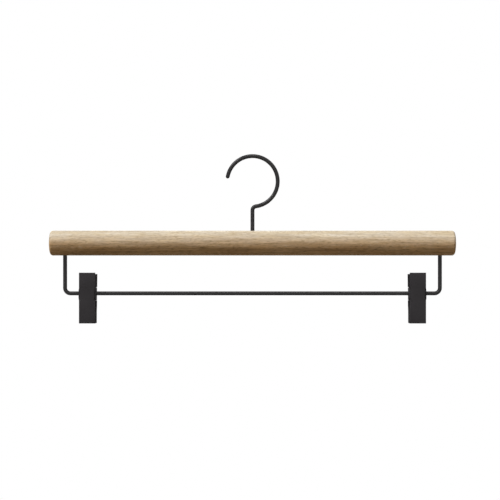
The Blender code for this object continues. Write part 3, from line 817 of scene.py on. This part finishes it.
def skin_jaw(mesh, lines, flipped):
    """Faces between neighbouring lines. Where the ears start and end, only the middle is joined."""
    for upper, lower in zip(lines, lines[1:]):
        shift = (len(lower) - len(upper)) // 2
        columns = range(len(upper) - 1) if shift == 0 else [len(upper) // 2 - 1]
        for column in columns:
            below = column + shift
            corners = [upper[column], lower[below], lower[below + 1], upper[column + 1]]
            if flipped:
                corners.reverse()
            mesh.faces.new(corners)


def folded_jaw(name, pivot, profile, inward, plate_width, ear_outer, ear_half_height, ear_reach):
    """Sheet-metal jaw: a plate along profile, with an ear folded inward from each side at the pivot."""
    fold = ear_outer - FOLD_RADIUS
    root_depth = inward * profile_y(profile, 0.0) + FOLD_RADIUS + EAR_ROOT
    mesh = bmesh.new()
    lines = []
    for y, z, height in jaw_rows(profile, ear_half_height):
        side = [(plate_width / 2, y)]
        if height is not None:
            side = ear_row(y, height, inward, ear_outer, ear_reach - root_depth)
        across = [(-x, depth) for x, depth in reversed(side)] + [(-fold, y), (fold, y)] + side
        lines.append([mesh.verts.new(Vector((x, depth, z)) + Vector(pivot)) for x, depth in across])
    skin_jaw(mesh, lines, inward < 0)

    jaw = as_object(name, mesh)
    sheet = jaw.modifiers.new("sheet", "SOLIDIFY")
    sheet.thickness = SHEET_THICKNESS
    sheet.offset = -1.0
    sheet.use_even_offset = True
    settle(jaw)
    reach = REAR_JAW_WIDTH
    hole = [(-reach, 0.0), (-reach, EAR_HOLE_RADIUS), (reach, EAR_HOLE_RADIUS), (reach, 0.0)]
    drill = as_object("ear_drill", turned(hole, "X", SMALL_SIDES, False, pivot))
    combine(jaw, [drill], "DIFFERENCE")
    soften_edges(jaw, SHEET_EDGE_RADIUS, segments=2, angle=50.0)
    return jaw


def grip_pad(name, pivot, back, facing):
    """Rubber pad: a back that follows the jaw's inner face, and rounded ribs at the grip plane."""
    bottom = -JAW_DROP + SHEET_THICKNESS + SEAT_GAP
    crest = GRIP_Y - facing * SEAT_GAP / 2
    pitch = PAD_HEIGHT / PAD_RIBS
    outline = [(back(bottom), bottom)]
    for number in range(PAD_RIBS * RIB_STEPS + 1):
        share = number / RIB_STEPS
        swell = (0.5 - 0.5 * math.cos(2 * math.pi * share)) ** PAD_RIB_FULLNESS
        outline.append((crest - facing * PAD_RIB_DEPTH * (1 - swell), bottom + share * pitch))
    outline.append((back(bottom + PAD_HEIGHT), bottom + PAD_HEIGHT))
    mesh = bmesh.new()
    ends = []
    for x in (-PAD_WIDTH / 2, PAD_WIDTH / 2):
        ends.append([mesh.verts.new(Vector((x, y, z)) + Vector(pivot)) for y, z in outline])
    join_rings(mesh, ends, False)
    pad = as_object(name, mesh)
    soften_edges(pad, PAD_EDGE_RADIUS, segments=3, angle=60.0)
    return pad


def spring_coil(rear_lean):
    """Centreline of the coil, from the front leg over its lower side to the rear leg."""
    start = math.pi
    end = 2 * math.pi * (SPRING_TURNS + 1) - rear_lean
    turns = (end - start) / (2 * math.pi)
    half_width = turns * SPRING_PITCH / 2
    steps = 2 * round(turns * SPRING_STEPS_PER_TURN / 2)
    coil = []
    for step in range(steps + 1):
        share = step / steps
        angle = start + (end - start) * share
        across = half_width * (2 * share - 1)
        coil.append(Vector((across, SPRING_RADIUS * math.cos(angle), SPRING_RADIUS * math.sin(angle))))
    return coil


def spring_leg(foot_y, top_y, coil_end):
    """Points of a leg, from its foot on the lever to the end of the coil, which is left out."""
    corners = [(foot_y, SPRING_LEG_RISE), (top_y, SPRING_LEG_RISE), (coil_end.y, coil_end.z)]
    path = rounded_path(corners, [SPRING_FOOT_RADIUS], FOOT_STEPS)
    return [Vector((coil_end.x, y, z)) for y, z in path[:-1]]


def spring_halves():
    """Centrelines of the spring's front and rear halves, each from its foot to the coil's middle."""
    rear_lean = math.atan2(REAR_LEVER_LEAN, REAR_LEVER_RISE)
    coil = spring_coil(rear_lean)
    middle = len(coil) // 2
    front_foot_y = FRONT_FACE_Y + SHEET_THICKNESS + SEAT_GAP
    rear_top_y = coil[-1].y + (SPRING_LEG_RISE - coil[-1].z) * math.tan(rear_lean)
    rear_inner_y = profile_y(rear_profile(), SPRING_LEG_RISE) - SHEET_THICKNESS / math.cos(rear_lean)
    front_leg = spring_leg(front_foot_y, coil[0].y, coil[0])
    rear_leg = spring_leg(rear_inner_y - SEAT_GAP, rear_top_y, coil[-1])
    return {"front": front_leg + coil[: middle + 1], "rear": rear_leg + coil[: middle - 1 : -1]}


def build_spring(side, pivot, material):
    """Torsion spring in two halves, each from the coil's middle to the leg that bears on its jaw."""
    pivot = Vector(pivot)
    for end, path in spring_halves().items():
        points = [pivot + point for point in path]
        radii = [SPRING_WIRE_RADIUS] * len(points)
        half = as_object(side + "_spring_" + end, swept(points, radii, SPRING_SIDES))
        dress(half, side + "_spring", material)
        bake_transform(half)


def build_sleeve(side, pivot, material):
    """Tube that the jaws and the spring turn on, with its edges broken."""
    half = SLEEVE_LENGTH / 2
    profile = tube_profile(-half, half, SLEEVE_INNER_RADIUS, SLEEVE_RADIUS)
    sleeve = as_object(side + "_sleeve_tube", turned(profile, "X", SMALL_SIDES, True, pivot))
    dress(sleeve, side + "_pivot_sleeve", material)
    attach(sleeve, side + "_slider")


def build_clip(side, x, materials):
    """One clip on the wire: sleeve, spring, two jaws and their pads."""
    pivot = (x, 0.0, TROUSER_Z)
    build_sleeve(side, pivot, materials["sheet"])
    build_spring(side, pivot, materials["spring"])

    front = folded_jaw(
        side + "_front_plate", pivot, front_profile(), inward=1,
        plate_width=FRONT_JAW_WIDTH, ear_outer=FRONT_EAR_OUTER,
        ear_half_height=EAR_HOLE_RADIUS + FRONT_EAR_MARGIN, ear_reach=EAR_HOLE_RADIUS + FRONT_EAR_RIM,
    )
    rear = folded_jaw(
        side + "_rear_plate", pivot, rear_profile(), inward=-1,
        plate_width=REAR_JAW_WIDTH, ear_outer=REAR_EAR_OUTER,
        ear_half_height=EAR_HOLE_RADIUS + REAR_EAR_MARGIN,
        ear_reach=-FRONT_FACE_Y - SHEET_THICKNESS - RUNNING_GAP,
    )
    depth = SHEET_THICKNESS + SEAT_GAP
    front_pad = grip_pad(side + "_front_grip", pivot, lambda z: FRONT_FACE_Y + depth, facing=1)
    rear_pad = grip_pad(
        side + "_rear_grip", pivot, lambda z: profile_y(rear_profile(), z) - depth, facing=-1
    )
    for end, jaw, pad in (("front", front, front_pad), ("rear", rear, rear_pad)):
        dress(jaw, side + "_" + end + "_jaw", materials["sheet"])
        dress(pad, side + "_" + end + "_pad", materials["rubber"])
        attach(jaw, side + "_" + end)
        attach(pad, side + "_" + end)


def build_hanger():
    """All pieces of the hanger."""
    materials = {
        "wire": make_black_wire(),
        "sheet": make_powder_coat(),
        "zinc": make_zinc(),
        "spring": make_spring_steel(),
        "rubber": make_rubber(),
        "oak": make_oak(),
    }
    build_hook(materials["wire"])
    build_washer(materials["zinc"])
    build_nut(materials["zinc"])
    build_wood_bar(materials["oak"])
    build_bar_plug(materials["oak"])
    build_trouser_bar(materials["wire"])
    for side, sign in (("left", -1), ("right", 1)):
        build_clip(side, sign * CLIP_X, materials)


def seen_directly(tree):
    """1 for rays that show a surface itself or its mirror image, and 0 for rays of diffuse light."""
    path = add_node(tree, "LightPath").outputs
    shown = compute(tree, "MAXIMUM", path["Is Camera Ray"], path["Is Glossy Ray"])
    return compute(tree, "MAXIMUM", shown, path["Is Transmission Ray"])


def build_world():
    """White surroundings to the eye, and a soft dim light on surfaces."""
    world = bpy.data.worlds.new("studio")
    world.use_nodes = True
    tree = world.node_tree
    background = tree.nodes["Background"]
    colour = blend_colours(tree, seen_directly(tree), AMBIENT, grey(1.0))
    tree.links.new(colour, background.inputs["Color"])
    background.inputs["Strength"].default_value = 1.0
    bpy.context.scene.world = world


def build_floor():
    """Pale floor far below the hanging object, which fades into the white surroundings."""
    mesh = bmesh.new()
    bmesh.ops.create_circle(mesh, cap_ends=True, segments=64, radius=FLOOR_RADIUS)
    floor = as_object("studio_floor", mesh)
    floor.location = (0.0, 0.0, FLOOR_Z)
    material, tree, shader, position = start_material(
        "studio_floor", Roughness=1.0, Specular_IOR_Level=0.0
    )
    shown = seen_directly(tree)
    tint = blend_colours(tree, shown, grey(0.12), grey(0.75))
    tree.links.new(tint, shader.inputs["Base Color"])
    distance = add_node(tree, "VectorMath", {"operation": "LENGTH"}, Vector=position)
    far = remap(tree, distance.outputs["Value"], FLOOR_FADE_START, FLOOR_FADE_END)
    glow = add_node(tree, "Emission", Color=grey(1.0), Strength=1.0)
    mixed = add_node(tree, "MixShader", Fac=compute(tree, "MULTIPLY", far, shown))
    tree.links.new(shader.outputs[0], mixed.inputs[1])
    tree.links.new(glow.outputs[0], mixed.inputs[2])
    tree.links.new(mixed.outputs[0], tree.nodes["Material Output"].inputs["Surface"])
    floor.data.materials.append(material)


def build_lights():
    """Two broad soft lamps: one high in front on the left, and one almost overhead."""
    lamps = (
        ("key", (-0.58, -0.37, 0.72), 28.0, 2.0),
        ("top", (0.0, -0.25, 0.97), 30.0, 1.3),
    )
    for name, toward_lamp, angle, energy in lamps:
        lamp = bpy.data.lights.new(name, "SUN")
        lamp.energy = energy
        lamp.angle = math.radians(angle)
        obj = bpy.data.objects.new(name, lamp)
        obj.rotation_euler = Vector(toward_lamp).to_track_quat("Z", "Y").to_euler()
        bpy.context.scene.collection.objects.link(obj)


def build_camera():
    """Level camera straight in front, as in the photograph."""
    lens = bpy.data.cameras.new("camera")
    lens.sensor_width = SENSOR_WIDTH
    lens.lens = SENSOR_WIDTH * CAMERA_DISTANCE / PICTURE_WIDTH
    lens.clip_start = 0.05
    lens.clip_end = 50.0
    camera = bpy.data.objects.new("camera", lens)
    camera.location = (CAMERA_X, -CAMERA_DISTANCE, CAMERA_Z)
    camera.rotation_euler = (math.pi / 2, 0.0, 0.0)
    bpy.context.scene.collection.objects.link(camera)
    bpy.context.scene.camera = camera


build_hanger()
build_world()
build_floor()
build_lights()
build_camera()
bpy.context.scene.view_settings.view_transform = "Standard"

bpy.context.view_layer.update()
